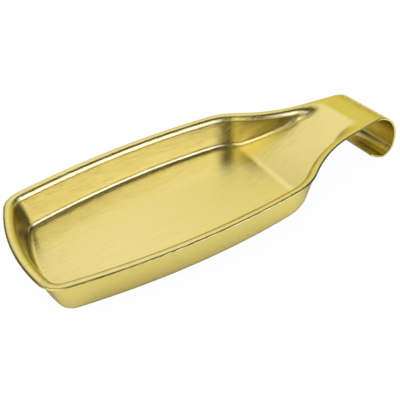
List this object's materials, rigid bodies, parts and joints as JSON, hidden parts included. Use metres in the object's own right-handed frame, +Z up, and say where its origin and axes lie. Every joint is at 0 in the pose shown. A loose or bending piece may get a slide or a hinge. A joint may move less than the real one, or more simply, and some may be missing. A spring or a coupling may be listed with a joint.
{
  "type": "spoon holder",
  "caption": "Shallow pressed-metal spoon holder: a long dished tray with a flat rim that runs up a ramp into a flat handle ending in a curled-under hook.",
  "frame": {"origin": "middle of the part's box, on the surface that it stands on", "axes": "+X along the part from the round end of the tray to the hook, +Y across it, +Z up"},
  "size_m": [0.2464, 0.0946, 0.0331],
  "materials": {
    "brushed_gold_steel": "gold-toned stainless steel, brushed along its length to a satin sheen"
  },
  "bodies": {
    "root": {"pressed_tray": "brushed_gold_steel"}
  },
  "joints": []
}
